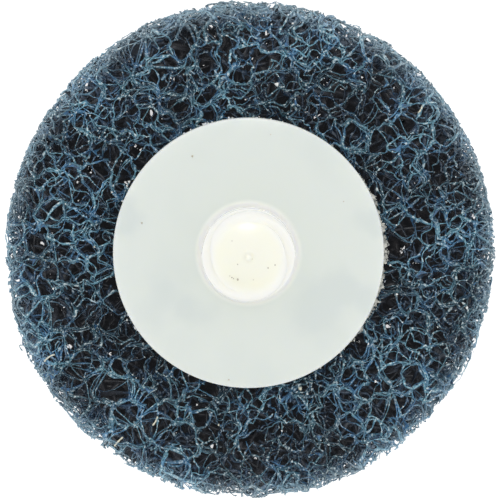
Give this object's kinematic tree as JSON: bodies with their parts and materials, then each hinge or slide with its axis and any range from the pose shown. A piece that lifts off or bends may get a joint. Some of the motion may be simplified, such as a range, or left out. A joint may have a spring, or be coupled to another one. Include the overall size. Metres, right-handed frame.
{
  "type": "surface conditioning disc",
  "caption": "Quick-change surface conditioning disc: a thick round open non-woven abrasive web with a moulded button glued to its back, a flat flange with a short coarse threaded stud.",
  "frame": {"origin": "on the disc's axis, in the plane of the working face that it lies on", "axes": "+Z along the axis, from the working face towards the stud; +Y is up in the picture and +X is right"},
  "size_m": [0.05, 0.05, 0.0212],
  "materials": {
    "web": "open non-woven nylon web in dark blue-green resin with abrasive grain, matt with small glints",
    "glue": "hardened glue, milky, crumbly at its edge",
    "button": "moulded natural plastic, milky and slightly see-through, satin"
  },
  "bodies": {
    "root": {"abrasive_web": "web", "adhesive_bond": "glue", "attachment_button": "button"}
  },
  "joints": []
}
